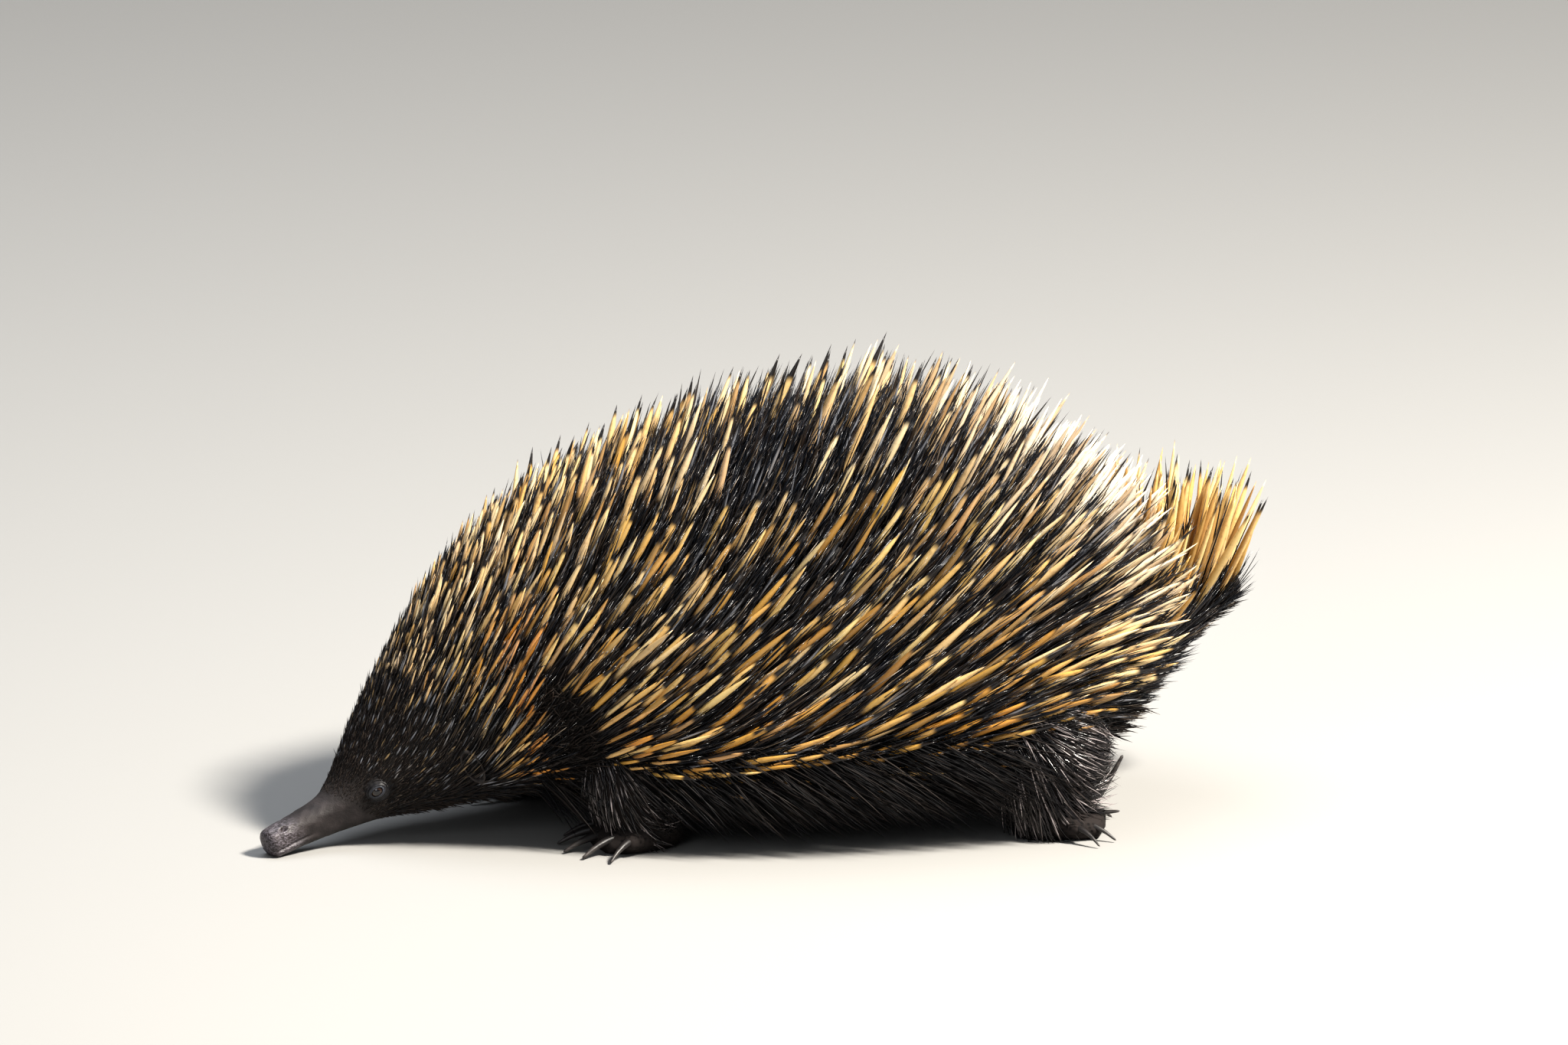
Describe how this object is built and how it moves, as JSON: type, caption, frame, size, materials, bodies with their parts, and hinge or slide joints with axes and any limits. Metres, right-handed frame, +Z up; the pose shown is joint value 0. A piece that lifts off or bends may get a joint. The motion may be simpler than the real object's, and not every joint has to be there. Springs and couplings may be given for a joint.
{
  "type": "short-beaked echidna, still life-size model",
  "caption": "Life-size spiny anteater walking with its beak to the ground, covered in long spines, with a naked beak, short legs and long digging claws.",
  "frame": {"origin": "on the floor, under the middle of the whole animal's bounding box", "axes": "the head faces -X, the animal's left side faces -Y, +Z is up"},
  "size_m": [0.4543, 0.2141, 0.2037],
  "materials": {
    "beak_skin": "smooth naked skin, faint sheen",
    "fur": "coarse dark hair",
    "spines": "smooth keratin with dark tips, over dark fur",
    "eye": "wet gloss",
    "ear_skin": "thin skin with short hair",
    "foot_skin": "rough skin with horny claws"
  },
  "bodies": {
    "root": {"beak": "beak_skin", "head": "fur", "neck": "spines", "torso": "spines", "tail": "spines", "eye_left": "eye", "eye_right": "eye", "ear_left": "ear_skin", "ear_right": "ear_skin", "leg_front_left": "fur", "leg_front_right": "fur", "leg_hind_left": "fur", "leg_hind_right": "fur", "foot_front_left": "foot_skin", "foot_front_right": "foot_skin", "foot_hind_left": "foot_skin", "foot_hind_right": "foot_skin"}
  },
  "joints": []
}
